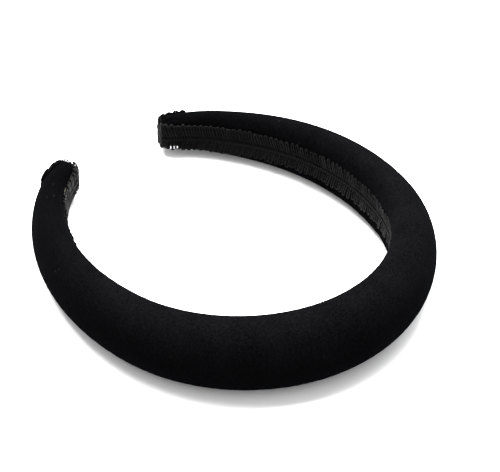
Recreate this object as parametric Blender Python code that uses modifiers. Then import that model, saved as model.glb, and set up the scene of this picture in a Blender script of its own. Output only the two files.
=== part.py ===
"""Padded velvet headband, lying on its lower edge, in metres.

X runs from ear to ear, -Y is the crown, +Y the side where the tips nearly meet, and +Z
is up through the width of the band. Every layer is measured from one line, bent from
three arcs on each side of the crown: "out" is the distance from that line away from the
head, and "along" is the distance from the crown.

The real layers run from tip to tip. Each is made here in a left and a right half that
part at the crown, so that the spring of the band can open on a hinge there.
"""

import bisect
import math

import bmesh
import bpy

# The line of the band, from the crown to a tip
ARC_RADII = (0.0592, 0.0904, 0.0499)
ARC_SWEEPS_DEG = (76.8, 54.1, 23.2)

# Section at the crown, halfway along and at the tip
BAND_WIDTH = (0.0316, 0.0276, 0.0139)
OUTER_DEPTH = (0.0136, 0.0111, 0.0054)
INNER_DEPTH = (0.0047, 0.0054, 0.0049)
ROUNDNESS = 2.0

# The end of each arm narrows, rounds off and stands a little off the table
TIP_TAPER_LENGTH = 0.013
TIP_TAPER = 0.91
TIP_ROUNDING = 0.002
TIP_FACE = 0.8
TIP_LIFT_LENGTH = 0.040
TIP_LIFT = 0.0016

# Layers, from the head outwards
GAP = 0.0003
BRAID_WIDTH = 0.0120
BRAID_THICKNESS = 0.0012
BRAID_SINK = (0.0010, 0.0004, -0.0005)
BRAID_FOLD_LENGTH = 0.009
BRAID_FOLD_RADIUS = 0.0012
BRAID_FOLD_PINCH = 0.96
BRAID_FOLD_DRAPE = 0.72
GLUE_WIDTH = 0.0080
GLUE_THICKNESS = 0.0003
VELVET_THICKNESS = 0.0008
HEM_EDGE = 0.0030
CHANNEL_HALF_WIDTH = 0.0070
CHANNEL_SHARE = 0.86
CHANNEL_WALL = 0.0008
CORE_WIDTH = (0.0140, 0.0120, 0.0076)
CORE_THICKNESS = 0.0016
TAPE_THICKNESS = 0.0003
TAPE_INSET = 0.0010

# Tack stitches that hold each folded braid end
TACK_COUNT = 3
TACK_FIRST = 0.0025
TACK_PITCH = 0.0014
TACK_LENGTH = 0.0012
TACK_LOW = -0.0040
TACK_THREAD = 0.0005

# How far the shorter layers stop from the tip, and the cutter of the foam's channel
CORE_EDGE_ROUNDING = 0.0003
TAPE_END = 0.006
GLUE_END = 0.003
CUTTER_PAST = 0.004
CUTTER_DEPTH = 0.020

# Fineness of the meshes
STATION_PITCH = 0.0070
SECTION_STEP_DEG = 18
ROLL_POINTS = 4
ROUNDING_STATIONS = (1.0, 0.55, 0.2)
ROUND_END_DEG = (30, 55, 78)
FOLD_STEP_DEG = 30
FOLD_STATIONS = 3
EPSILON = 1e-9

SIDE_NAMES = {-1: "left", 1: "right"}

FINISHES = {
    "velvet": ((0.012, 0.012, 0.016), 0.95, 0.0),
    "braid": ((0.016, 0.016, 0.018), 0.75, 0.0),
    "foam": ((0.62, 0.60, 0.52), 0.95, 0.0),
    "core": ((0.03, 0.03, 0.03), 0.45, 0.0),
    "adhesive": ((0.70, 0.66, 0.52), 0.35, 0.0),
    "thread": ((0.55, 0.55, 0.58), 0.50, 0.0),
}

ARC_SWEEPS = [math.radians(sweep) for sweep in ARC_SWEEPS_DEG]
HALF_LENGTH = sum(radius * sweep for radius, sweep in zip(ARC_RADII, ARC_SWEEPS))
SLIT = GAP / 2

# Share of the half width at which a section's curve meets its level top and bottom lands
LAND = math.cos(math.radians(SECTION_STEP_DEG / 2)) ** (2 / ROUNDNESS)


def between(values, along):
    """A dimension at this distance from the crown, from its three stated values, level at the crown."""
    crown, halfway, tip = values
    t = along / HALF_LENGTH
    square = 8 * (halfway - crown) - (tip - crown)
    cube = (tip - crown) - square
    return crown + square * t**2 + cube * t**3


def line_at(along):
    """The point and the heading of the band's line on the right side, with the crown at 0, 0."""
    x = y = heading = 0.0
    for radius, sweep in zip(ARC_RADII, ARC_SWEEPS):
        turn = min(along / radius, sweep)
        x += radius * (math.sin(heading + turn) - math.sin(heading))
        y += radius * (math.cos(heading) - math.cos(heading + turn))
        heading += turn
        along -= radius * turn
        if along < EPSILON:
            return x, y, heading
    return x + along * math.cos(heading), y + along * math.sin(heading), heading


def end_scale(along):
    """How much of the full section is left where the end of an arm narrows and rounds off."""
    left = HALF_LENGTH - along
    taper = max(0.0, 1 - left / TIP_TAPER_LENGTH)
    rounding = min(1.0, max(0.0, left / TIP_ROUNDING))
    round_share = TIP_FACE + (1 - TIP_FACE) * math.sqrt(1 - (1 - rounding) ** 2)
    return (1 - (1 - TIP_TAPER) * taper**2) * round_share


def half_width(along):
    return between(BAND_WIDTH, along) / 2 * end_scale(along)


def outer_depth(along):
    return between(OUTER_DEPTH, along) * end_scale(along)


def inner_depth(along):
    return between(INNER_DEPTH, along) * end_scale(along)


def middle_height(along):
    lift = max(0.0, 1 - (HALF_LENGTH - along) / TIP_LIFT_LENGTH)
    return between(BAND_WIDTH, along) / 2 + TIP_LIFT * lift**2


def braid_face(along):
    """How far out the head side of the braid lies."""
    return -inner_depth(along) + between(BRAID_SINK, along)


def hem_face(along):
    return braid_face(along) + BRAID_THICKNESS + GAP + GLUE_THICKNESS + GAP


def core_face(along):
    return hem_face(along) + VELVET_THICKNESS + GAP


def tape_face(along):
    return core_face(along) + CORE_THICKNESS + GAP


def foam_face(along):
    return tape_face(along) + TAPE_THICKNESS + GAP


def channel_half_width(along):
    """Half the width of the channel in the velvet that the braid lies in."""
    return min(CHANNEL_HALF_WIDTH, CHANNEL_SHARE * half_width(along))


def footprint_middle():
    """Y of the middle of the band's footprint, with the crown of its line at 0."""
    wall = BRAID_THICKNESS / 2
    furthest = 0.0
    for along, out in braid_path(0):
        _, y, heading = line_at(along)
        furthest = max(furthest, y - math.cos(heading) * out + wall)
    return (furthest - OUTER_DEPTH[0]) / 2


def stations(start, end):
    """Distances from the crown for a loft, closer together where the end rounds off."""
    steps = math.ceil((end - start) / STATION_PITCH)
    evenly = [start + (end - start) * i / steps for i in range(steps + 1)]
    rounding = [HALF_LENGTH - TIP_ROUNDING * share for share in ROUNDING_STATIONS]
    near_end = [along for along in rounding if start < along < end - EPSILON]
    if not near_end:
        return evenly
    first = bisect.bisect_left(evenly, near_end[0] - TIP_ROUNDING)
    return evenly[:first] + near_end + [end]


def place(side, along, out, up):
    """World point of a place on the left (-1) or right (1) half, up measured from mid width."""
    x, y, heading = line_at(along)
    x += math.sin(heading) * out
    y -= math.cos(heading) * out
    return (side * x, y - MIDDLE_Y, middle_height(along) + up)


def rounded(angle, depth, half):
    """Out and up on a rounded section at an angle from straight out, with a level top and bottom land."""
    cosine, sine = math.cos(angle), math.sin(angle)
    power = 2 / ROUNDNESS
    out = depth * abs(cosine) ** power
    up = math.copysign(half * abs(sine) ** power / LAND, sine)
    return out, up


def outer_arc(depth, half):
    """Points over the outer side of a section, from its lower land to its upper one."""
    edge = 90 - SECTION_STEP_DEG / 2
    count = round(2 * edge / SECTION_STEP_DEG)
    angles = [math.radians(-edge + SECTION_STEP_DEG * i) for i in range(count + 1)]
    return [rounded(angle, depth, half) for angle in angles]


def roll_arc(depth, half, stop):
    """Points round the upper roll on the head side, from the land in to where up equals stop."""
    last = math.asin(min(1.0, stop * LAND / half) ** (ROUNDNESS / 2))
    first = math.radians(90 - SECTION_STEP_DEG / 2)
    points = []
    for i in range(ROLL_POINTS):
        out, up = rounded(first + (last - first) * i / (ROLL_POINTS - 1), depth, half)
        points.append((-out, up))
    return points


def add_object(name, mesh, finish, side):
    """An object for one piece, which hangs from the hinge if it is on the half that opens."""
    mesh.materials.append(materials[finish])
    obj = bpy.data.objects.new(name, mesh)
    pieces.objects.link(obj)
    if side > 0:
        obj.parent = hinge
        obj.location = -hinge.location
    return obj


def loft(rows, side, ring=False, caps=()):
    """A mesh over rows of points up the outer side; ring joins each row's ends, caps fills end rows."""
    shape = bmesh.new()
    grid = [[shape.verts.new(point) for point in row] for row in rows]
    count = len(grid[0])
    faces = [grid[cap] if cap else grid[cap][::-1] for cap in caps]
    for near, far in zip(grid, grid[1:]):
        for i in range(count if ring else count - 1):
            j = (i + 1) % count
            faces.append((near[i], near[j], far[j], far[i]))
    for face in faces:
        shape.faces.new(face[::-1] if side > 0 else face)
    mesh = bpy.data.meshes.new("loft")
    shape.to_mesh(mesh)
    shape.free()
    mesh.shade_smooth()
    return mesh


def thicken(obj, thickness, offset):
    wall = obj.modifiers.new("thickness", "SOLIDIFY")
    wall.thickness = thickness
    wall.offset = offset


def strip(name, finish, side, face, thickness, half, end):
    """A flat strip along the band with a round end; face gives how far out its head side lies."""
    radius = half(end)
    last = end - radius
    edges = [(along, half(along)) for along in stations(SLIT, last)]
    for angle in map(math.radians, ROUND_END_DEG):
        edges.append((last + radius * math.sin(angle), radius * math.cos(angle)))
    rows = []
    for along, reach in edges:
        out = face(along) + thickness / 2
        rows.append([place(side, along, out, up) for up in (-reach, reach)])
    obj = add_object(f"{name}_{SIDE_NAMES[side]}", loft(rows, side), finish, side)
    thicken(obj, thickness, 0)
    return obj


def core_half_width(along):
    return between(CORE_WIDTH, along) / 2


def make_core(side):
    end = HALF_LENGTH - VELVET_THICKNESS - GAP
    core = strip("core_strip", "core", side, core_face, CORE_THICKNESS, core_half_width, end)
    bevel = core.modifiers.new("rounded edges", "BEVEL")
    bevel.width = CORE_EDGE_ROUNDING
    bevel.segments = 1


def make_tape(side):
    """The double-sided tape that holds the foam to the strip."""
    strip(
        "foam_tape",
        "adhesive",
        side,
        tape_face,
        TAPE_THICKNESS,
        lambda along: core_half_width(along) - TAPE_INSET,
        HALF_LENGTH - TAPE_END,
    )


def make_glue(side):
    """The glue line that holds the braid to the turned-in velvet."""
    strip(
        "braid_glue",
        "adhesive",
        side,
        lambda along: braid_face(along) + BRAID_THICKNESS + GAP,
        GLUE_THICKNESS,
        lambda along: GLUE_WIDTH / 2,
        HALF_LENGTH - GLUE_END,
    )


def make_foam(side):
    """The foam pad: the full rounded section, less a channel on the head side for the strip."""
    inset = VELVET_THICKNESS + GAP
    rows = []
    for along in stations(SLIT, HALF_LENGTH - inset - GAP):
        half = half_width(along) - inset
        outer = outer_arc(outer_depth(along) - inset, half)
        inner = [(-out, up) for out, up in outer_arc(inner_depth(along) - inset, half)]
        rows.append([place(side, along, out, up) for out, up in outer + inner[::-1]])
    foam = add_object(f"foam_pad_{SIDE_NAMES[side]}", loft(rows, side, True, (0, -1)), "foam", side)
    rows = []
    for along in stations(-CUTTER_PAST, HALF_LENGTH + CUTTER_PAST):
        half = max(core_half_width(along) + GAP, channel_half_width(along) + inset)
        far = foam_face(along)
        corners = ((far, -half), (far, half), (far - CUTTER_DEPTH, half), (far - CUTTER_DEPTH, -half))
        rows.append([place(side, along, out, up) for out, up in corners])
    cutter = bpy.data.objects.new(f"{foam.name}_channel", loft(rows, side, True, (0, -1)))
    cutter.hide_render = True
    cutter.display_type = "WIRE"
    cutters.objects.link(cutter)
    cutter.parent = foam.parent
    cutter.location = foam.location
    cut = foam.modifiers.new("channel", "BOOLEAN")
    cut.operation = "DIFFERENCE"
    cut.object = cutter


def make_cover(side):
    """The velvet: round the foam from hem to hem, and closed at the tip."""
    rows = []
    for along in stations(SLIT, HALF_LENGTH):
        channel = channel_half_width(along)
        upper = roll_arc(inner_depth(along), half_width(along), channel)
        upper.append((hem_face(along), channel - CHANNEL_WALL))
        upper.append((hem_face(along), HEM_EDGE))
        lower = [(out, -up) for out, up in reversed(upper)]
        profile = lower + outer_arc(outer_depth(along), half_width(along)) + upper
        rows.append([place(side, along, out, up) for out, up in profile])
    cover = add_object(f"velvet_cover_{SIDE_NAMES[side]}", loft(rows, side, caps=(-1,)), "velvet", side)
    thicken(cover, VELVET_THICKNESS, -1)


def velvet_out(along, up):
    """How far out the velvet's outer side lies at a height from the middle."""
    share = min(1.0, abs(up) * LAND / half_width(along))
    return outer_depth(along) * (1 - share**ROUNDNESS) ** (1 / ROUNDNESS)


def braid_path(up):
    """Along and out of the braid's middle at a height: along the head side, round the tip, back outside."""
    clear = GAP + BRAID_THICKNESS / 2
    turn = HALF_LENGTH + clear - BRAID_FOLD_RADIUS
    path = [(along, braid_face(along) + BRAID_THICKNESS / 2) for along in stations(SLIT, turn)]
    near = path[-1][1]
    far = velvet_out(turn, up * BRAID_FOLD_DRAPE) + clear
    swings = [math.radians(angle) for angle in range(0, 90, FOLD_STEP_DEG)]
    for swing in swings[1:] + [math.radians(90)]:
        out = near + BRAID_FOLD_RADIUS * (1 - math.cos(swing))
        path.append((turn + BRAID_FOLD_RADIUS * math.sin(swing), out))
    for swing in swings:
        out = far - BRAID_FOLD_RADIUS * (1 - math.sin(swing))
        path.append((turn + BRAID_FOLD_RADIUS * math.cos(swing), out))
    for i in range(FOLD_STATIONS + 1):
        along = turn - BRAID_FOLD_LENGTH * i / FOLD_STATIONS
        path.append((along, velvet_out(along, up * BRAID_FOLD_DRAPE) + clear))
    return path


def make_braid(side):
    """The gimp braid on the head side, folded round the tip."""
    columns = []
    for share in (-1, -0.5, 0, 0.5, 1):
        up = share * BRAID_WIDTH / 2
        column = []
        for along, out in braid_path(up * BRAID_FOLD_PINCH):
            past = min(1.0, max(0.0, 1 - (HALF_LENGTH - along) / TIP_TAPER_LENGTH))
            pinch = 1 - (1 - BRAID_FOLD_PINCH) * past
            column.append(place(side, along, out, up * pinch))
        columns.append(column)
    rows = [list(row) for row in zip(*columns)]
    braid = add_object(f"gimp_braid_{SIDE_NAMES[side]}", loft(rows, side), "braid", side)
    thicken(braid, BRAID_THICKNESS, 0)


def make_tacks(side):
    """The tack stitches near the lower edge of each folded braid end."""
    for number in range(TACK_COUNT):
        along = HALF_LENGTH - TACK_FIRST - TACK_PITCH * number
        out = braid_face(along) - GAP - TACK_THREAD / 2
        line = bpy.data.curves.new("thread", "CURVE")
        line.dimensions = "3D"
        line.bevel_depth = TACK_THREAD / 2
        line.bevel_resolution = 1
        line.use_fill_caps = True
        thread = line.splines.new("POLY")
        thread.points.add(1)
        for point, up in zip(thread.points, (TACK_LOW, TACK_LOW + TACK_LENGTH)):
            point.co = (*place(side, along, out, up), 1)
        add_object(f"tack_stitch_{SIDE_NAMES[side]}_{number + 1}", line, "thread", side)


def make_material(name, colour, roughness, metallic):
    material = bpy.data.materials.new(name)
    material.use_nodes = True
    shader = material.node_tree.nodes["Principled BSDF"]
    shader.inputs["Base Color"].default_value = (*colour, 1)
    shader.inputs["Roughness"].default_value = roughness
    shader.inputs["Metallic"].default_value = metallic
    return material


def make_collection(name):
    collection = bpy.data.collections.new(name)
    bpy.context.scene.collection.children.link(collection)
    return collection


for old in list(bpy.data.objects):
    bpy.data.objects.remove(old)

MIDDLE_Y = footprint_middle()
pieces = make_collection("padded_headband")
cutters = make_collection("cutters")
materials = {name: make_material(name, *finish) for name, finish in FINISHES.items()}

# The hinge stands on the outermost line of the crown, where opening parts the halves
hinge = bpy.data.objects.new("crown_hinge", None)
hinge.location = (0, -OUTER_DEPTH[0] - MIDDLE_Y, BAND_WIDTH[0] / 2)
pieces.objects.link(hinge)

for side in SIDE_NAMES:
    make_core(side)
    make_tape(side)
    make_foam(side)
    make_cover(side)
    make_glue(side)
    make_braid(side)
    make_tacks(side)
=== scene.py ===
import math

import bmesh
import bpy
import numpy as np
from mathutils import Matrix, Vector


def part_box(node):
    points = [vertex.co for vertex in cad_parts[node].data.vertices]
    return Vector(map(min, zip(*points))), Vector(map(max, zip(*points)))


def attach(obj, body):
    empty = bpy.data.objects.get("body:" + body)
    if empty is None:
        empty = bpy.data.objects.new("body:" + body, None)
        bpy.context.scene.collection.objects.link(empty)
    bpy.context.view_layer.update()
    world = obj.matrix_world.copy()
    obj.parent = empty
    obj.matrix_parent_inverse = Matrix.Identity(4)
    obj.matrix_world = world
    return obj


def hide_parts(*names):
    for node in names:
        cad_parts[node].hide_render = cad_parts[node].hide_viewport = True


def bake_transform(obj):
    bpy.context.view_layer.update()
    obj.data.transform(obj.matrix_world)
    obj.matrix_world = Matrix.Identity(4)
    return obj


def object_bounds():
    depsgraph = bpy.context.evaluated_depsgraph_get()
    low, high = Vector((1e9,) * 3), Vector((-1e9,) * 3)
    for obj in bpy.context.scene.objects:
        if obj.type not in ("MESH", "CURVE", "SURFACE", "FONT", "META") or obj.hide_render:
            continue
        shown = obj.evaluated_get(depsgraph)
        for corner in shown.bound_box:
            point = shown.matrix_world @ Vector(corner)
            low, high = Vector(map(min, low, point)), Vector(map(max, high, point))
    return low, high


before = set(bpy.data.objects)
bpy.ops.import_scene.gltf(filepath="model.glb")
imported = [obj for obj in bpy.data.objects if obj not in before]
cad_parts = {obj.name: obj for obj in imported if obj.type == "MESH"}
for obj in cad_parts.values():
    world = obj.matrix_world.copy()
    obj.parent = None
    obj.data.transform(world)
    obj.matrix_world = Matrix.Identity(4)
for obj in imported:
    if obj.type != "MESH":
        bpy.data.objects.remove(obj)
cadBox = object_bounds()

# The band's line and section, shared by every layer. Three values are at the crown, halfway and at a tip.
band = {
    "arcRadii": (0.0592, 0.0904, 0.0499),
    "arcSweeps": (76.8, 54.1, 23.2),
    "width": (0.0316, 0.0276, 0.0139),
    "outerDepth": (0.0136, 0.0111, 0.0054),
    "innerDepth": (0.0047, 0.0054, 0.0049),
    "tipTaperLength": 0.013,
    "tipTaper": 0.91,
    "tipRounding": 0.002,
    "tipFace": 0.8,
    "tipLiftLength": 0.040,
    "tipLift": 0.0016,
    "roundingShares": (0.75, 0.5, 0.3, 0.14, 0.04),  # rows in the rounding, as shares of its length
    "bendHalf": 0.0185,  # the crown bends this far to each side when the arms open
}
arcTurns = [math.radians(sweep) for sweep in band["arcSweeps"]]
arcLengths = [radius * turn for radius, turn in zip(band["arcRadii"], arcTurns)]
halfLength = sum(arcLengths)
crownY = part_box("velvet_cover_right")[0].y + band["outerDepth"][0]
floorZ = cadBox[0].z


def between(values, along):  # a dimension at this distance from the crown
    t = np.abs(along) / halfLength
    square = 8 * (values[1] - values[0]) - (values[2] - values[0])
    cube = values[2] - values[0] - square
    return values[0] + square * t**2 + cube * t**3


def smooth(value, low, high):  # 0 up to low, 1 from high on; the other way round if low is larger
    t = np.clip((value - low) / (high - low), 0, 1)
    return t * t * (3 - 2 * t)


def endScale(along):
    left = halfLength - np.abs(along)
    taper = np.clip(1 - left / band["tipTaperLength"], 0, 1)
    rounding = np.clip(left / band["tipRounding"], 0, 1)
    share = band["tipFace"] + (1 - band["tipFace"]) * np.sqrt(1 - (1 - rounding) ** 2)
    return (1 - (1 - band["tipTaper"]) * taper**2) * share


def halfWidth(along):
    return between(band["width"], along) / 2 * endScale(along)


def outerDepth(along):
    return between(band["outerDepth"], along) * endScale(along)


def innerDepth(along):
    return between(band["innerDepth"], along) * endScale(along)


def lineAt(along):  # x, y and heading of the band's line; along is negative on the left arm
    rest = np.abs(np.asarray(along, float))
    x, y, heading = np.zeros_like(rest), np.zeros_like(rest), np.zeros_like(rest)
    for radius, sweep in zip(band["arcRadii"], arcTurns):
        turn = np.minimum(rest / radius, sweep)
        x += radius * (np.sin(heading + turn) - np.sin(heading))
        y += radius * (np.cos(heading) - np.cos(heading + turn))
        heading += turn
        rest = np.maximum(rest - radius * turn, 0)
    return x + rest * np.cos(heading), y + rest * np.sin(heading), heading


def bendRadius(along):  # the radius of the band's line here
    arcEnds = np.cumsum([0] + arcLengths)
    return np.interp(abs(along), arcEnds, [band["arcRadii"][0], *band["arcRadii"]])


def place(along, out, up):  # out is away from the head, up is from the middle of the width
    x, y, heading = lineAt(along)
    lift = np.clip(1 - (halfLength - np.abs(along)) / band["tipLiftLength"], 0, 1)
    x = x + np.sin(heading) * out
    y = y - np.cos(heading) * out
    z = floorZ + between(band["width"], along) / 2 + band["tipLift"] * lift**2 + up
    return np.stack([np.where(np.asarray(along) < 0, -x, x), y + crownY, z], -1)


def stations(end, pitch):  # distances from the crown, left tip to right, closer where the tip rounds off
    count = math.ceil((end - band["tipRounding"]) / pitch)
    half = list(np.linspace(0, end - band["tipRounding"], count + 1))
    half += [end - band["tipRounding"] * share for share in band["roundingShares"]] + [end]
    return np.array([-along for along in half[:0:-1]] + half)


def meshObject(name, points, faces, material):
    mesh = bpy.data.meshes.new(name)
    mesh.from_pydata([tuple(point) for point in points], [], faces)
    obj = bpy.data.objects.new(name, mesh)
    bpy.context.scene.collection.objects.link(obj)
    mesh.materials.append(material)
    mesh.shade_smooth()
    return obj


def gridFaces(rows, columns, ring=False):
    faces = []
    for row in range(rows - 1):
        for column in range(columns if ring else columns - 1):
            after = (column + 1) % columns
            faces.append(
                (
                    row * columns + column,
                    row * columns + after,
                    (row + 1) * columns + after,
                    (row + 1) * columns + column,
                )
            )
    return faces


def faceOutward(obj):
    shape = bmesh.new()
    shape.from_mesh(obj.data)
    bmesh.ops.recalc_face_normals(shape, faces=shape.faces)
    shape.to_mesh(obj.data)
    shape.free()


def applyModifiers(obj):
    graph = bpy.context.evaluated_depsgraph_get()
    mesh = bpy.data.meshes.new_from_object(obj.evaluated_get(graph))
    obj.modifiers.clear()
    old, obj.data = obj.data, mesh
    bpy.data.meshes.remove(old)
    mesh.name = obj.name


def bendWithArms(piece, *nodes):  # every long layer runs tip to tip as one piece; its faces are turned outward, its placement baked in and its CAD parts hidden
    faceOutward(piece)
    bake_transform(piece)
    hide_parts(*[f"{node}_{side}" for node in nodes for side in ("left", "right")])


class Wire:  # an output socket that sums can be written with
    def __init__(self, finish, output):
        self.finish = finish
        self.output = output

    def __add__(self, other):
        return self.finish.sum("ADD", self, other)

    def __radd__(self, other):
        return self.finish.sum("ADD", other, self)

    def __sub__(self, other):
        return self.finish.sum("SUBTRACT", self, other)

    def __rsub__(self, other):
        return self.finish.sum("SUBTRACT", other, self)

    def __mul__(self, other):
        return self.finish.sum("MULTIPLY", self, other)

    def __rmul__(self, other):
        return self.finish.sum("MULTIPLY", other, self)


class Finish:  # a Principled material, built up node by node
    def __init__(self, name, constants):
        self.material = bpy.data.materials.new(name)
        self.material.use_nodes = True
        self.tree = self.material.node_tree
        self.shader = self.tree.nodes["Principled BSDF"]
        for socket, value in constants.items():
            self.shader.inputs[socket].default_value = value

    def node(self, kind, settings, sockets, output=0):
        made = self.tree.nodes.new(kind)
        for name, value in settings.items():
            if name == "stops":
                self.fillRamp(made.color_ramp, value)
            else:
                setattr(made, name, value)
        for name, value in sockets.items():
            if isinstance(value, Wire):
                self.tree.links.new(value.output, made.inputs[name])
            else:
                made.inputs[name].default_value = value
        return Wire(self, made.outputs[output])

    def fillRamp(self, ramp, stops):
        while len(ramp.elements) < len(stops):
            ramp.elements.new(1.0)
        for element, (position, value) in zip(ramp.elements, stops):
            element.position = position
            element.color = (value, value, value, 1)

    def sum(self, operation, *values):
        return self.node("ShaderNodeMath", {"operation": operation}, dict(enumerate(values)))

    def mix(self, factor, first, second):
        sockets = {0: factor, 6: first, 7: second}
        return self.node("ShaderNodeMix", {"data_type": "RGBA"}, sockets, 2)

    def noise(self, where, scale, detail=2.0, rough=0.5):
        sockets = {"Vector": where, "Scale": scale, "Detail": detail, "Roughness": rough}
        return self.node("ShaderNodeTexNoise", {}, sockets)

    def ramp(self, value, stops):
        return self.node("ShaderNodeValToRGB", {"stops": stops}, {"Fac": value})

    def onObject(self):
        return self.node("ShaderNodeTexCoord", {}, {}, "Object")

    def attribute(self, name):
        return self.node("ShaderNodeAttribute", {"attribute_name": name}, {}, "Fac")

    def bump(self, height, strength, distance, before=None):
        sockets = {"Height": height, "Strength": strength, "Distance": distance}
        if before:
            sockets["Normal"] = before
        return self.node("ShaderNodeBump", {}, sockets)

    def into(self, links):
        for socket, wire in links.items():
            self.tree.links.new(wire.output, self.shader.inputs[socket])
        return self.material


# Velvet: a wide foam-backed cover, wrapped round the pad and turned in under the braid
cover = {
    "stationPitch": 0.0020,
    "outerPoints": 19,
    "rollPoints": 12,
    "channelHalf": 0.0053,
    "channelShare": 0.76,
    "valley": 0.0028,  # the pile slopes down to the braid over this width
    "valleyFloor": 0.0005,
    "hemTurn": ((0.35, 0.00015), (0.8, 0.0006)),  # share of the way down to the hem, and how far in
    "hemFoot": 0.0013,
    "hemEdge": 0.0030,
    "wall": 0.0008,
    "tipRings": ((0.64, 0.00022), (0.38, 0.00036), (0.1, 0.00042)),
    "gatherDepth": 0.00022,
    "gatherCount": 11,
    "gatherLength": 0.009,
    "gatherNear": 0.002,  # closer to the middle than this, a gather pulls in no more
    "flatShare": 0.35,  # how far the cloth keeps its flat cut length round the bend
    "flatEase": 1.04,
    "heldFrom": 0.006,  # the cloth is held more and more from here to the tip
    "heldWhole": 0.003,
    "pressure": 3.0,
    "frames": 20,
    "mostIn": 0.00022,
    "mostOut": 0.0004,
    "mostAlong": 0.0005,
    "simScale": 10.0,
    "colour": (0.0006, 0.0006, 0.0007, 1),
    # the paler nap tone, mixed in by the tufts and, as painted top light, more towards the upper edge
    "napAndPaintedTopLight": (0.0046, 0.0046, 0.0051, 1),
    # painted top light: how much of the paler nap tone each height of the band gets
    "paintedTopLightHeights": ((0.0, 0.22), (0.42, 0.19), (0.62, 0.36), (0.9, 0.95)),
    "cloudScale": 70,
    "tuftScale": 1500,
    "fuzzScale": 3200,
    "fleckScale": 420,
    "lintPatchScale": 190,
    "lint": (0.006, 0.006, 0.0066, 1),
    "sheen": 0.006,
    "sheenRoughness": 0.3,
}


def velvetFinish():
    velvet = Finish(
        "velvetPile",
        {
            "Specular IOR Level": 0.0,
            "Sheen Weight": cover["sheen"],
            "Sheen Roughness": cover["sheenRoughness"],
            "Sheen Tint": (0.86, 0.88, 1.0, 1),
        },
    )
    where = velvet.onObject()
    clouds = velvet.noise(where, cover["cloudScale"], 3, 0.55)
    brushed = velvet.ramp(clouds, ((0.36, 0.0), (0.66, 1.0)))
    tufts = velvet.ramp(velvet.noise(where, cover["tuftScale"], 3, 0.75), ((0.34, 0.0), (0.70, 1.0)))
    fuzz = velvet.noise(where, cover["fuzzScale"], 2, 0.7)
    height = velvet.node("ShaderNodeSeparateXYZ", {}, {"Vector": where}, 2) * (1 / band["width"][0])
    paintedTopLight = velvet.ramp(height, cover["paintedTopLightHeights"])  # painted top light: the pile is coloured paler towards the upper edge, where more light falls from above
    pileAndPaintedTopLight = velvet.mix((brushed * 0.2 + tufts * 0.8) * paintedTopLight, cover["colour"], cover["napAndPaintedTopLight"])
    spread = {"Vector": where, "Scale": cover["fleckScale"], "Randomness": 1.0}
    fleck = velvet.node("ShaderNodeTexVoronoi", {}, spread, "Distance")
    chosen = velvet.ramp(velvet.noise(where, cover["lintPatchScale"], 1), ((0.68, 0.0), (0.72, 1.0)))
    lint = velvet.ramp(fleck, ((0.10, 1.0), (0.22, 0.0))) * chosen
    rough = fuzz * 0.4 + tufts * 0.6
    return velvet.into(
        {
            "Base Color": velvet.mix(lint, pileAndPaintedTopLight, cover["lint"]),
            "Roughness": 0.98 - brushed * 0.10,
            "Normal": velvet.bump(rough, 0.6, 0.0003, velvet.bump(clouds, 0.2, 0.0005)),
        }
    )


def coverProfile(along, scale=1.0):
    # out and up round the section, from the lower hem over the outer side to the upper hem
    half, outer, inner = halfWidth(along), outerDepth(along), innerDepth(along)
    channel = min(cover["channelHalf"], cover["channelShare"] * half)
    last = math.asin(channel / half)
    turns = np.linspace(math.pi / 2, last, cover["rollPoints"])
    crests = [(-inner * math.cos(turn), half * math.sin(turn)) for turn in turns]
    drop = max(0.0, float(braidFace(along)) + cover["valleyFloor"] - crests[-1][0])
    valley = cover["valley"]
    upper = [(out + drop * smooth(channel + valley - up, 0, valley), up) for out, up in crests]
    sunk = hemFace(along)
    rim = upper[-1][0]
    upper += [(rim + (sunk - rim) * share, channel - inward) for share, inward in cover["hemTurn"]]
    upper += [(sunk, channel - cover["hemFoot"]), (sunk, cover["hemEdge"])]
    lower = [(out, -up) for out, up in reversed(upper)]
    swings = np.linspace(-math.pi / 2, math.pi / 2, cover["outerPoints"])[1:-1]
    around = [(outer * math.cos(swing), half * math.sin(swing)) for swing in swings]
    middle = (outer - inner) / 2
    return [(middle + (out - middle) * scale, up * scale) for out, up in lower + around + upper]


def coverRows():
    ends = stations(halfLength, cover["stationPitch"])
    rows = [(along, coverProfile(along)) for along in ends]
    for scale, past in cover["tipRings"]:
        for side in (-1, 1):
            ring = (side * (halfLength + past), coverProfile(side * halfLength, scale))
            rows = rows + [ring] if side > 0 else [ring] + rows
    return rows


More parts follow.
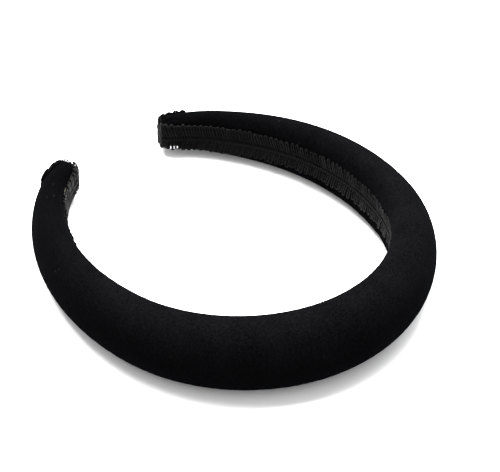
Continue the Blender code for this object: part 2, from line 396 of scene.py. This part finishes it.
def settleCover(obj, flat, held):
    # the cloth starts with its flat-cut lengths, held at the hems and tips, and the pad presses it out
    scale = cover["simScale"]
    trial = bpy.data.objects.new("coverTrial", obj.data.copy())
    bpy.context.scene.collection.objects.link(trial)
    rest = np.array([vertex.co for vertex in obj.data.vertices])
    trial.data.vertices.foreach_set("co", (rest * scale).ravel())
    trial.shape_key_add(name="Basis")
    cut = trial.shape_key_add(name="flatCut")
    cut.data.foreach_set("co", (flat * scale).ravel())
    group = trial.vertex_groups.new(name="held")
    for index, weight in enumerate(held):
        group.add([index], float(weight), "REPLACE")
    cloth = trial.modifiers.new("cloth", "CLOTH")
    cloth.settings.quality = 6
    cloth.settings.mass = 0.3
    cloth.settings.tension_stiffness = 12
    cloth.settings.compression_stiffness = 12
    cloth.settings.shear_stiffness = 3
    cloth.settings.bending_stiffness = 0.3
    cloth.settings.air_damping = 4
    cloth.settings.vertex_group_mass = "held"
    cloth.settings.rest_shape_key = cut
    cloth.settings.use_pressure = True
    cloth.settings.uniform_pressure_force = cover["pressure"]
    cloth.settings.effector_weights.gravity = 0
    cloth.point_cache.frame_start = 1
    cloth.point_cache.frame_end = cover["frames"]
    cloth.collision_settings.use_collision = False
    for number in range(1, cover["frames"] + 1):
        bpy.context.scene.frame_set(number)
    graph = bpy.context.evaluated_depsgraph_get()
    settled = np.array([vertex.co for vertex in trial.evaluated_get(graph).data.vertices]) / scale
    normals = np.array([vertex.normal for vertex in obj.data.vertices])
    bpy.data.objects.remove(trial)
    bpy.context.scene.frame_set(1)
    return limitMove(rest, settled, normals, held)


def limitMove(rest, settled, normals, held):
    move = settled - rest
    outward = (move * normals).sum(-1, keepdims=True)
    sideways = move - outward * normals
    far = np.linalg.norm(sideways, axis=-1, keepdims=True)
    sideways *= cover["mostAlong"] / np.maximum(far, cover["mostAlong"])
    outward = np.where(
        outward > 0,
        cover["mostOut"] * np.tanh(outward / cover["mostOut"]),
        cover["mostIn"] * np.tanh(outward / cover["mostIn"]),
    )
    moved = rest + (outward * normals + sideways) * (1 - np.asarray(held)[:, None])
    moved[:, 2] = np.maximum(moved[:, 2], np.minimum(rest[:, 2], floorZ + 0.0001))
    return moved


def makeCover(material):
    rows = coverRows()
    columns = len(rows[0][1])
    hemPoints = len(cover["hemTurn"]) + 2
    points, flat, held, uv = [], [], [], []
    for along, profile in rows:
        out = np.array([point[0] for point in profile])
        up = np.array([point[1] for point in profile])
        across = np.concatenate([[0], np.cumsum(np.hypot(np.diff(out), np.diff(up)))])
        across -= across[-1] / 2
        nearTip = smooth(halfLength - abs(along), cover["gatherLength"], 0)
        wave = np.cos(across / across[-1] * math.pi * cover["gatherCount"])
        gather = cover["gatherDepth"] * nearTip * wave
        gather[:hemPoints] = gather[-hemPoints:] = 0
        shrink = 1 - gather / np.maximum(np.hypot(out, up), cover["gatherNear"])
        points += list(place(np.full(columns, along), out * shrink, up * shrink))
        local = along * (1 + out / bendRadius(along))
        mixed = local + (along * cover["flatEase"] - local) * cover["flatShare"]
        flat += [(x, y, 0) for x, y in zip(mixed, across)]
        hem = np.zeros(columns)
        hem[: hemPoints + 1] = hem[-hemPoints - 1 :] = 1
        tip = smooth(halfLength - abs(along), cover["heldFrom"], cover["heldWhole"])
        held += list(np.maximum(hem, tip))
        uv += [(along, y) for y in across]
    faces = [face[::-1] for face in gridFaces(len(rows), columns)]
    obj = meshObject("velvetCover", points, faces, material)
    settled = settleCover(obj, np.array(flat), held)
    obj.data.vertices.foreach_set("co", settled.ravel())
    obj.data.update()
    layer = obj.data.uv_layers.new(name="cloth")  # the cloth laid flat, in metres
    for loop in obj.data.loops:
        layer.data[loop.index].uv = uv[loop.vertex_index]
    finer = obj.modifiers.new("finer", "SUBSURF")
    finer.levels = finer.render_levels = 1
    wall = obj.modifiers.new("wall", "SOLIDIFY")
    wall.thickness = cover["wall"]
    wall.offset = -1
    applyModifiers(obj)
    bendWithArms(obj, "velvet_cover")
    print("velvet cover:", len(obj.data.polygons), "faces")


# The layers between the braid and the pad, from the head outwards
layers = {
    "gap": 0.0003,
    "braidThickness": 0.0012,
    "braidSink": (0.0010, 0.0004, -0.0005),
    "glueThickness": 0.0003,
    "glueHalf": 0.0040,
    "glueEnd": 0.003,
    "coreWidth": (0.0140, 0.0120, 0.0076),
    "coreThickness": 0.0016,
    "coreEnd": 0.0011,
    "capDegrees": (18, 36, 52, 66, 78, 87),  # stations round a strip's end
    "edgeSoft": 0.3,  # softening of a strip's edges, as a share of its thickness
    "tapeThickness": 0.0003,
    "tapeInset": 0.0010,
    "tapeEnd": 0.006,
    "padInset": 0.0014,
    "padEnd": 0.0018,
    "stripRoom": 0.0006,  # the pad's channel is wider than the strip, and than the cover's, by these
    "hemRoom": 0.0012,
    "mostChannel": 0.97,
    "deepestChannel": 0.8,
    "outerPoints": 17,
    "rollPoints": 5,
    "pitch": 0.0020,
    "foamDark": (0.62, 0.59, 0.50, 1),
    "foamPale": (0.70, 0.68, 0.60, 1),
    "coreDark": (0.018, 0.018, 0.019, 1),
    "corePale": (0.035, 0.035, 0.037, 1),
    "tapePale": (0.72, 0.70, 0.62, 1),
    "tapeDark": (0.60, 0.57, 0.47, 1),
    "tapeWaviness": 0.2,
    "gluePale": (0.70, 0.66, 0.52, 1),
    "glueDark": (0.52, 0.46, 0.32, 1),
    "glueWaviness": 0.6,
}


def braidFace(along):
    return -innerDepth(along) + between(layers["braidSink"], along)


def glueFace(along):
    return braidFace(along) + layers["braidThickness"] + layers["gap"]


def hemFace(along):
    return glueFace(along) + layers["glueThickness"] + layers["gap"]


def coreFace(along):
    return hemFace(along) + cover["wall"] + layers["gap"]


def tapeFace(along):
    return coreFace(along) + layers["coreThickness"] + layers["gap"]


def padFace(along):
    return tapeFace(along) + layers["tapeThickness"] + layers["gap"]


def coreHalf(along):
    return between(layers["coreWidth"], along) / 2


def makeStrip(name, material, face, thickness, half, end, nodes):
    # a flat strip with round ends and softened edges
    radius = float(half(end))
    rounding = len(band["roundingShares"])
    inner = stations(end - radius + band["tipRounding"], layers["pitch"])[rounding:-rounding]
    inner = inner[np.abs(inner) <= end - radius + 1e-6]
    turns = np.radians(layers["capDegrees"])
    cap = [(end - radius + radius * math.sin(turn), radius * math.cos(turn)) for turn in turns]
    edges = [(-along, reach) for along, reach in reversed(cap)]
    edges += [(along, float(half(along))) for along in inner] + cap
    soft = thickness * layers["edgeSoft"]
    points = []
    for along, reach in edges:
        near = float(face(along))
        section = (
            (near, -reach + soft),
            (near, reach - soft),
            (near + soft, reach),
            (near + thickness - soft, reach),
            (near + thickness, reach - soft),
            (near + thickness, -reach + soft),
            (near + thickness - soft, -reach),
            (near + soft, -reach),
        )
        for out, up in section:
            points.append(place(along, out, up))
    columns = len(section)
    faces = gridFaces(len(edges), columns, ring=True)
    faces.append(tuple(range(columns)))
    faces.append(tuple(len(points) - columns + index for index in range(columns)))
    obj = meshObject(name, points, faces, material)
    bendWithArms(obj, nodes)


def makePad(material):
    # the foam: the rounded section less a channel for the strip
    inset = layers["padInset"]
    rows = []
    for along in stations(halfLength - layers["padEnd"], layers["pitch"]):
        half = halfWidth(along) - inset
        outer, inner = outerDepth(along) - inset, innerDepth(along) - inset
        room = max(coreHalf(along) + layers["stripRoom"], cover["channelHalf"] + layers["hemRoom"])
        channel = min(room, half * layers["mostChannel"])
        rim = math.asin(channel / half)
        swings = np.linspace(-math.pi / 2, math.pi / 2, layers["outerPoints"])
        section = [(outer * math.cos(swing), half * math.sin(swing)) for swing in swings]
        turns = np.linspace(math.pi / 2, rim, layers["rollPoints"])[1:]
        roll = [(-inner * math.cos(turn), half * math.sin(turn)) for turn in turns]
        floor = min(padFace(along), outer * layers["deepestChannel"])
        roll += [(floor, channel)]
        section += roll + [(out, -up) for out, up in reversed(roll)]
        rows.append([place(along, out, up) for out, up in section])
    columns = len(rows[0])
    points = [point for row in rows for point in row]
    faces = gridFaces(len(rows), columns, ring=True)
    faces.append(tuple(range(columns)))
    faces.append(tuple(len(points) - columns + index for index in range(columns)))
    obj = meshObject("foamPad", points, faces, material)
    bendWithArms(obj, "foam_pad")
    print("foam pad:", len(obj.data.polygons), "faces")


def foamFinish():
    foam = Finish("openCellFoam", {"Specular IOR Level": 0.2})
    where = foam.onObject()
    cells = foam.node("ShaderNodeTexVoronoi", {}, {"Vector": where, "Scale": 1500}, "Distance")
    stain = foam.noise(where, 60, 2)
    return foam.into(
        {
            "Base Color": foam.mix(stain, layers["foamDark"], layers["foamPale"]),
            "Roughness": 0.85 + cells * 0.15,
            "Normal": foam.bump(cells, 0.8, 0.0003),
        }
    )


def coreFinish():
    core = Finish("springStrip", {"Specular IOR Level": 0.5})
    where = core.onObject()
    drawn = core.node("ShaderNodeMapping", {}, {"Vector": where, "Scale": (1, 1, 40)})
    rolled = core.noise(drawn, 90, 3)
    return core.into(
        {
            "Base Color": core.mix(rolled, layers["coreDark"], layers["corePale"]),
            "Roughness": 0.32 + rolled * 0.22,
            "Normal": core.bump(rolled, 0.2, 0.0002),
        }
    )


def glueFinish(name, pale, dark, waviness):
    glue = Finish(name, {"Specular IOR Level": 0.5, "Coat Roughness": 0.2})
    where = glue.onObject()
    smear = glue.noise(where, 180, 3)
    return glue.into(
        {
            "Base Color": glue.mix(smear, pale, dark),
            "Roughness": 0.22 + smear * 0.3,
            "Normal": glue.bump(smear, waviness, 0.0003),
        }
    )


# Gimp braid: looped cords in two slanting rows on a thin tape, folded back over each tip
braid = {
    "half": 0.0061,
    "foldLength": 0.009,
    "foldRadius": 0.0012,
    "foldPinch": 0.99,
    "foldDrape": 0.85,
    "flatHalf": 0.0042,  # the edges past this follow the rounded section
    "drapeShare": 0.85,
    "drapeStart": 0.55,
    "headStations": 190,  # rows along the head side, round one corner of the fold and on the way back
    "foldStations": 9,
    "backStations": 12,
    "levels": 9,  # rows from the middle of the braid to past its edge
    "levelReach": 1.15,
    "loopPitch": 0.00236,
    "loopDegrees": (180, 140, 100, 60, 20),
    "loopSwell": 1.12,
    "loopRise": 0.00002,
    "cordRadius": 0.00040,
    "cordSides": 6,
    "slant": 0.00145,  # how far a leg leans over its reach
    "legFoot": 0.00055,
    "legShape": ((0.0, 1.0, -0.0002), (0.33, 0.62, 0.00006), (0.68, 0.3, 0.00006)),  # reach, lean, height
    "ropePitch": 0.00082,
    "ropeRadius": 0.00027,
    "ropeSides": 5,
    "ropeOverlap": 0.9,
    "ropeHalf": 0.00042,
    "ropeShape": ((-1.0, -1.0, 0.0001), (-0.3, -0.4, 0.0004), (0.3, 0.4, 0.0004), (1.0, 1.0, 0.0001)),
    "warpRadius": 0.00014,
    "warpSides": 4,
    "warpLift": 0.00036,
    "warpShort": 0.001,
    "warpSway": 0.00008,
    "warpSwayRate": 2100,
    "warpPlaces": (-0.0043, -0.0031, -0.0019, 0.0021, 0.0038),
    "tapeHalf": 0.0054,
    "tapeThickness": 0.00035,
    "tapeLift": 0.00005,
    "tapeShort": 0.0004,
    "runStations": 420,  # points along the warps and the tape
    "lift": 0.00012,  # height of the cords' middle over the middle of the braid
    "jitter": 0.06,
    "loopSeed": 3,
    "ropeSeed": 11,
    "warpSeed": 1,
    "plyPitch": 0.00034,
    "colour": (0.0003, 0.0003, 0.0004, 1),
    # paler tone: painted sheen on each ply crest, and random worn patches
    "wornAndPlySheen": (0.0020, 0.0020, 0.0021, 1),
}


def braidFinish():
    thread = Finish(
        "gimpThread",
        {"Specular IOR Level": 0.04, "Sheen Weight": 0.003, "Sheen Roughness": 0.4},
    )
    where = thread.onObject()
    turns = thread.sum("SINE", thread.attribute("cordLength") * (2 * math.pi / braid["plyPitch"]))
    shade = thread.noise(where, 240, 2)
    threads = thread.ramp(turns * 0.5 + 0.5, ((0.0, 0.0), (0.7, 1.0)))
    return thread.into(
        {
            # painted sheen on each ply crest, mixed with random worn patches
            "Base Color": thread.mix(threads * 0.4 + shade * 0.5, braid["colour"], braid["wornAndPlySheen"]),
            "Roughness": 0.62 - threads * 0.2,
            "Normal": thread.bump(threads, 0.6, 0.00008, thread.bump(shade, 0.3, 0.0002)),
        }
    )


def cordRowTree():
    # one cord shape, given a round section and repeated along a line
    tree = bpy.data.node_groups.new("cordRow", "GeometryNodeTree")
    sockets = {
        "Geometry": "NodeSocketGeometry",
        "Pitch": "NodeSocketFloat",
        "Count": "NodeSocketInt",
        "Thickness": "NodeSocketFloat",
        "Sides": "NodeSocketInt",
        "Jitter": "NodeSocketFloat",
        "Seed": "NodeSocketInt",
        "Material": "NodeSocketMaterial",
    }
    for name, kind in sockets.items():
        tree.interface.new_socket(name, in_out="INPUT", socket_type=kind)
    tree.interface.new_socket("Geometry", in_out="OUTPUT", socket_type="NodeSocketGeometry")

    def add(kind, links, settings=None):
        node = tree.nodes.new(kind)
        for name, value in (settings or {}).items():
            setattr(node, name, value)
        for name, value in links.items():
            if isinstance(value, bpy.types.NodeSocket):
                tree.links.new(value, node.inputs[name])
            else:
                node.inputs[name].default_value = value
        return node

    given = tree.nodes.new("NodeGroupInput").outputs
    path = add("GeometryNodeMeshToCurve", {"Mesh": given["Geometry"]})
    far = add("GeometryNodeSplineParameter", {})
    measured = add(
        "GeometryNodeStoreNamedAttribute",
        {"Geometry": path.outputs[0], "Name": "cordLength", "Value": far.outputs["Length"]},
        {"data_type": "FLOAT", "domain": "POINT"},
    )
    section = add(
        "GeometryNodeCurvePrimitiveCircle",
        {"Resolution": given["Sides"], "Radius": given["Thickness"]},
    )
    cord = add(
        "GeometryNodeCurveToMesh",
        {"Curve": measured.outputs[0], "Profile Curve": section.outputs[0], "Fill Caps": True},
    )
    fewer = add("ShaderNodeMath", {0: given["Count"], 1: 1.0}, {"operation": "SUBTRACT"})
    span = add("ShaderNodeMath", {0: fewer.outputs[0], 1: given["Pitch"]}, {"operation": "MULTIPLY"})
    start = add("ShaderNodeMath", {0: span.outputs[0], 1: -0.5}, {"operation": "MULTIPLY"})
    first = add("ShaderNodeCombineXYZ", {"X": start.outputs[0]})
    step = add("ShaderNodeCombineXYZ", {"X": given["Pitch"]})
    spots = add(
        "GeometryNodeMeshLine",
        {"Count": given["Count"], "Start Location": first.outputs[0], "Offset": step.outputs[0]},
    )
    less = add("ShaderNodeMath", {0: 0.0, 1: given["Jitter"]}, {"operation": "SUBTRACT"})
    lean = add(
        "FunctionNodeRandomValue",
        {"Min": less.outputs[0], "Max": given["Jitter"], "Seed": given["Seed"]},
        {"data_type": "FLOAT_VECTOR"},
    )
    small = add("ShaderNodeMath", {0: 1.0, 1: given["Jitter"]}, {"operation": "SUBTRACT"})
    large = add("ShaderNodeMath", {0: 1.0, 1: given["Jitter"]}, {"operation": "ADD"})
    size = add(
        "FunctionNodeRandomValue",
        {"Min": small.outputs[0], "Max": large.outputs[0], "Seed": given["Seed"]},
        {"data_type": "FLOAT_VECTOR"},
    )
    row = add(
        "GeometryNodeInstanceOnPoints",
        {
            "Points": spots.outputs[0],
            "Instance": cord.outputs[0],
            "Rotation": lean.outputs[0],
            "Scale": size.outputs[0],
        },
    )
    real = add("GeometryNodeRealizeInstances", {"Geometry": row.outputs[0]})
    finished = add(
        "GeometryNodeSetMaterial", {"Geometry": real.outputs[0], "Material": given["Material"]}
    )
    tree.links.new(finished.outputs[0], tree.nodes.new("NodeGroupOutput").inputs[0])
    return tree


def cordRow(tree, path, values):
    # a plain mesh of one repeated cord, laid flat: x along, y up, z towards the head
    mesh = bpy.data.meshes.new("cordPath")
    mesh.from_pydata(path, [(index, index + 1) for index in range(len(path) - 1)], [])
    guide = bpy.data.objects.new("cordPath", mesh)
    bpy.context.scene.collection.objects.link(guide)
    modifier = guide.modifiers.new("cordRow", "NODES")
    modifier.node_group = tree
    for item in tree.interface.items_tree:
        if item.name in values:
            modifier[item.identifier] = values[item.name]
    graph = bpy.context.evaluated_depsgraph_get()
    made = bpy.data.meshes.new_from_object(guide.evaluated_get(graph))
    bpy.data.objects.remove(guide)
    return made


def loopPath(side):
    # from the middle out along one leg, over the edge loop and back down the next leg
    radius = braid["loopPitch"] / 4
    reach = braid["half"] - braid["cordRadius"] - radius
    lean = braid["slant"]
    low = braid["legFoot"]
    leg = [(-lean * back, low + (reach - low) * share, high) for share, back, high in braid["legShape"]]
    path = [(x - radius, y, z) for x, y, z in leg]
    swell = braid["loopSwell"] * radius
    for degrees in braid["loopDegrees"]:
        turn = math.radians(degrees)
        path.append((swell * math.cos(turn), reach + swell * math.sin(turn), braid["loopRise"]))
    path += [(x + radius, y, z) for x, y, z in reversed(leg)]
    return [(x, side * y, z + braid["lift"]) for x, y, z in path]


def velvetOut(along, up):
    share = np.minimum(1.0, np.abs(up) / halfWidth(along))
    return outerDepth(along) * np.sqrt(1 - share**2)


def braidDrape(along, up):
    # how far the edges of the braid lie back over the section, towards the tips
    half = halfWidth(along)
    flat = braid["flatHalf"]
    share = np.clip((np.abs(up) - flat) / (half - flat), 0, braid["drapeShare"])
    reach = smooth(along / halfLength, braid["drapeStart"], 1.0)
    return innerDepth(along) * (1 - np.sqrt(1 - share**2)) * reach


def braidPath(up):
    # along and out of the braid's middle: on the head side, round the tip and back on the outside
    clear = layers["gap"] + layers["braidThickness"] / 2
    radius = braid["foldRadius"]
    turn = halfLength + clear - radius
    inner = np.linspace(0, turn, braid["headStations"])
    near = braidFace(inner) + layers["braidThickness"] / 2 + braidDrape(inner, up)
    far = velvetOut(turn, up * braid["foldDrape"]) + clear
    swing = np.radians(np.linspace(0, 90, braid["foldStations"]))
    back = turn - braid["foldLength"] * np.linspace(0, 1, braid["backStations"])[1:]
    rising = (turn + radius * np.sin(swing[1:]), near[-1] + radius * (1 - np.cos(swing[1:])))
    falling = (turn + radius * np.cos(swing), far - radius * (1 - np.sin(swing)))
    outside = (back, velvetOut(back, up * braid["foldDrape"]) + clear)
    along = np.concatenate([inner, rising[0], falling[0], outside[0]])
    out = np.concatenate([near, rising[1], falling[1], outside[1]])
    return along, out


class BraidWrap:  # carries a flat braid onto the band
    def __init__(self):
        self.ups = np.linspace(0, braid["half"] * braid["levelReach"], braid["levels"])
        paths = [braidPath(up * braid["foldPinch"]) for up in self.ups]
        self.along = np.array([path[0] for path in paths])
        self.out = np.array([path[1] for path in paths])
        steps = np.hypot(np.diff(self.along[0]), np.diff(self.out[0]))
        self.length = np.concatenate([[0], np.cumsum(steps)])

    def table(self, values, spot, level):
        low = np.clip(np.floor(spot).astype(int), 0, values.shape[1] - 2)
        under = np.clip(np.floor(level).astype(int), 0, values.shape[0] - 2)
        a, b = spot - low, level - under
        first = values[under, low] * (1 - a) + values[under, low + 1] * a
        second = values[under + 1, low] * (1 - a) + values[under + 1, low + 1] * a
        return first * (1 - b) + second * b

    def carry(self, points):
        run = np.abs(points[:, 0])
        side = np.where(points[:, 0] < 0, -1.0, 1.0)
        spot = np.interp(run, self.length, np.arange(len(self.length)))
        level = np.abs(points[:, 1]) / self.ups[1]
        along, out = self.table(self.along, spot, level), self.table(self.out, spot, level)
        ahead, behind = np.minimum(spot + 0.5, len(self.length) - 1), np.maximum(spot - 0.5, 0)
        slopeAlong = self.table(self.along, ahead, level) - self.table(self.along, behind, level)
        slopeOut = self.table(self.out, ahead, level) - self.table(self.out, behind, level)
        slope = np.hypot(slopeAlong, slopeOut)
        along = along + points[:, 2] * slopeOut / slope
        out = out - points[:, 2] * slopeAlong / slope
        past = np.clip(1 - (halfLength - along) / band["tipTaperLength"], 0, 1)
        pinch = 1 - (1 - braid["foldPinch"]) * past
        return place(side * along, out, points[:, 1] * pinch)


def makeBraid(material):
    tree = cordRowTree()
    wrap = BraidWrap()
    reach = wrap.length[-1]
    parts = []
    loops = int(2 * reach / braid["loopPitch"])
    for side in (-1, 1):
        values = {
            "Pitch": braid["loopPitch"],
            "Count": loops,
            "Thickness": braid["cordRadius"],
            "Sides": braid["cordSides"],
            "Jitter": braid["jitter"],
            "Seed": braid["loopSeed"] + side,
            "Material": material,
        }
        parts.append(cordRow(tree, loopPath(side), values))
    strand, wide = braid["ropePitch"] * braid["ropeOverlap"], braid["ropeHalf"]
    path = [(strand * x, wide * y, z + braid["lift"]) for x, y, z in braid["ropeShape"]]
    rope = {
        "Pitch": braid["ropePitch"],
        "Count": int(2 * reach / braid["ropePitch"]),
        "Thickness": braid["ropeRadius"],
        "Sides": braid["ropeSides"],
        "Jitter": braid["jitter"],
        "Seed": braid["ropeSeed"],
        "Material": material,
    }
    parts.append(cordRow(tree, path, rope))
    warpLength = 2 * reach - braid["warpShort"]
    warp = {
        "Pitch": 0.0,
        "Count": 1,
        "Thickness": braid["warpRadius"],
        "Sides": braid["warpSides"],
        "Jitter": 0.0,
        "Seed": braid["warpSeed"],
        "Material": material,
    }
    high = braid["lift"] + braid["warpLift"]
    for number, up in enumerate(braid["warpPlaces"]):
        xs = np.linspace(-warpLength / 2, warpLength / 2, braid["runStations"])
        sways = [braid["warpSway"] * math.sin(x * braid["warpSwayRate"] + number) for x in xs]
        path = [(x, up + sway, high) for x, sway in zip(xs, sways)]
        parts.append(cordRow(tree, path, warp))
    joined = bmesh.new()
    for part in parts:
        joined.from_mesh(part)
        bpy.data.meshes.remove(part)
    mesh = bpy.data.meshes.new("gimpBraid")
    joined.to_mesh(mesh)
    joined.free()
    addTape(mesh, reach)
    points = np.array([vertex.co for vertex in mesh.vertices])
    mesh.vertices.foreach_set("co", wrap.carry(points).ravel())
    mesh.materials.clear()
    mesh.materials.append(material)
    obj = bpy.data.objects.new("gimpBraid", mesh)
    bpy.context.scene.collection.objects.link(obj)
    mesh.shade_smooth()
    bendWithArms(obj, "gimp_braid")
    print("gimp braid:", len(mesh.polygons), "faces")


def addTape(mesh, reach):
    # the thin woven tape that the cords are sewn on
    shape = bmesh.new()
    shape.from_mesh(mesh)
    half, thick = braid["tapeHalf"], braid["tapeThickness"]
    back = -layers["braidThickness"] / 2 + braid["tapeLift"]
    front = back + thick
    xs = np.linspace(-reach + braid["tapeShort"], reach - braid["tapeShort"], braid["runStations"])
    section = [(-half, back), (-half, front), (0, front), (half, front), (half, back), (0, back)]
    rings = [[shape.verts.new((x, y, z)) for y, z in section] for x in xs]
    for near, far in zip(rings, rings[1:]):
        for index in range(len(section)):
            after = (index + 1) % len(section)
            shape.faces.new((near[index], near[after], far[after], far[index]))
    shape.faces.new(rings[0])
    shape.faces.new(rings[-1])
    shape.to_mesh(mesh)
    shape.free()


# Tack stitches that hold each folded braid end
tacks = {
    "first": 0.0025,
    "pitch": 0.0014,
    "count": 3,
    "length": 0.0012,
    "radius": 0.00026,
    "shape": ((-1.0, 0), (-0.5, 0.00022), (0, 0.0003), (0.5, 0.00022), (1.0, 0)),  # share of half, height
    "sides": 6,
    "jitter": 0.08,
    "seed": 21,
    "plyPitch": 0.0003,
    "up": -0.0034,
    "lift": 0.0009,
    "pale": (0.75, 0.75, 0.78, 1),
    # painted shade in the grooves between the thread's ply turns
    "shade": (0.42, 0.42, 0.46, 1),
}


def tackFinish():
    thread = Finish("tackThread", {"Specular IOR Level": 0.6})
    turns = thread.sum("SINE", thread.attribute("cordLength") * (2 * math.pi / tacks["plyPitch"]))
    return thread.into(
        {
            # the white thread darkens towards the shade colour between ply turns: painted groove shade
            "Base Color": thread.mix(turns * 0.5 + 0.5, tacks["shade"], tacks["pale"]),
            "Roughness": 0.35 + thread.noise(thread.onObject(), 900) * 0.2,
            "Normal": thread.bump(turns, 0.5, 0.00006),
        }
    )


def makeTacks(material):
    tree = bpy.data.node_groups["cordRow"]
    wrap = BraidWrap()
    path = [(0, tacks["length"] / 2 * share, high) for share, high in tacks["shape"]]
    for side, name in ((-1, "left"), (1, "right")):
        values = {
            "Pitch": tacks["pitch"],
            "Count": tacks["count"],
            "Thickness": tacks["radius"],
            "Sides": tacks["sides"],
            "Jitter": tacks["jitter"],
            "Seed": tacks["seed"] + side,
            "Material": material,
        }
        mesh = cordRow(tree, path, values)
        points = np.array([vertex.co for vertex in mesh.vertices])
        middle = halfLength - tacks["first"] - tacks["pitch"] * (tacks["count"] - 1) / 2
        points += (side * middle, tacks["up"], tacks["lift"])
        mesh.vertices.foreach_set("co", wrap.carry(points).ravel())
        mesh.name = f"tackStitches{name.capitalize()}"
        obj = bpy.data.objects.new(mesh.name, mesh)
        bpy.context.scene.collection.objects.link(obj)
        mesh.shade_smooth()
        faceOutward(obj)
        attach(obj, f"{name}_half")
        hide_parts(*[f"tack_stitch_{name}_{number + 1}" for number in range(tacks["count"])])
    print("tack stitches made")


studio = {
    "azimuth": -38.12,
    "elevation": 39.11,
    "roll": 1.14,
    "distance": 1.5,
    "lens": 292.8,
    "target": (0.00566, -0.00329, 0.01531),
    "floorHalf": 3.0,
    "floorPale": (0.95, 0.95, 0.95, 1),
    "floorShade": (0.93, 0.93, 0.93, 1),
    "world": 1.25,
    # name: place, size, power, colour
    "lights": {
        "main": ((0.2, 0.5, 1.15), 1.3, 98.0, (1.0, 1.0, 1.0)),
        "right": ((0.95, 0.2, 0.55), 0.7, 7.0, (0.98, 0.99, 1.0)),
    },
}


def makeStudio():
    pale = Finish("paleFloor", {"Specular IOR Level": 0.1})
    spread = pale.noise(pale.onObject(), 3, 2)
    pale.into(
        {
            "Base Color": pale.mix(spread, studio["floorShade"], studio["floorPale"]),
            "Roughness": 0.85 + spread * 0.1,
        }
    )
    half = studio["floorHalf"]
    corners = [(-half, -half, floorZ), (half, -half, floorZ), (half, half, floorZ), (-half, half, floorZ)]
    meshObject("floor", corners, [(0, 1, 2, 3)], pale.material)
    world = bpy.data.worlds.new("softStudio")
    world.use_nodes = True
    world.node_tree.nodes["Background"].inputs["Color"].default_value = (1, 1, 1, 1)
    world.node_tree.nodes["Background"].inputs["Strength"].default_value = studio["world"]
    bpy.context.scene.world = world
    target = Vector(studio["target"])
    for name, (spot, size, power, colour) in studio["lights"].items():
        light = bpy.data.lights.new(name, "AREA")
        light.energy = power
        light.size = size
        light.color = colour
        lamp = bpy.data.objects.new(name, light)
        lamp.location = spot
        lamp.rotation_euler = (target - Vector(spot)).to_track_quat("-Z", "Y").to_euler()
        bpy.context.scene.collection.objects.link(lamp)
    bpy.context.scene.view_settings.view_transform = "Standard"


def makeCamera():
    turn, rise, roll = (math.radians(studio[name]) for name in ("azimuth", "elevation", "roll"))
    back = Vector((math.sin(turn) * math.cos(rise), -math.cos(turn) * math.cos(rise), math.sin(rise)))
    right = Vector((math.cos(turn), math.sin(turn), 0))
    up = back.cross(right)
    level = right * math.cos(roll) + up * math.sin(roll)
    upright = up * math.cos(roll) - right * math.sin(roll)
    camera = bpy.data.objects.new("camera", bpy.data.cameras.new("camera"))
    camera.data.lens = studio["lens"]
    camera.data.sensor_width = 36.0
    camera.data.clip_end = 20.0
    turned = Matrix((level, upright, back)).transposed().to_4x4()
    camera.matrix_world = Matrix.Translation(Vector(studio["target"]) + back * studio["distance"]) @ turned
    bpy.context.scene.collection.objects.link(camera)
    bpy.context.scene.camera = camera


makeStudio()
makeCamera()
print("studio ready")
makeCover(velvetFinish())
makePad(foamFinish())
core = coreFinish()
makeStrip(
    "coreStrip", core, coreFace, layers["coreThickness"], coreHalf,
    halfLength - layers["coreEnd"], "core_strip",
)
film = glueFinish("tapeFilm", layers["tapePale"], layers["tapeDark"], layers["tapeWaviness"])
makeStrip(
    "foamTape", film, tapeFace, layers["tapeThickness"],
    lambda along: coreHalf(along) - layers["tapeInset"],
    halfLength - layers["tapeEnd"], "foam_tape",
)
glue = glueFinish("braidGlue", layers["gluePale"], layers["glueDark"], layers["glueWaviness"])
makeStrip(
    "braidGlue", glue, glueFace, layers["glueThickness"],
    lambda along: layers["glueHalf"],
    halfLength - layers["glueEnd"], "braid_glue",
)
print("inner strips made")
makeBraid(braidFinish())
makeTacks(tackFinish())
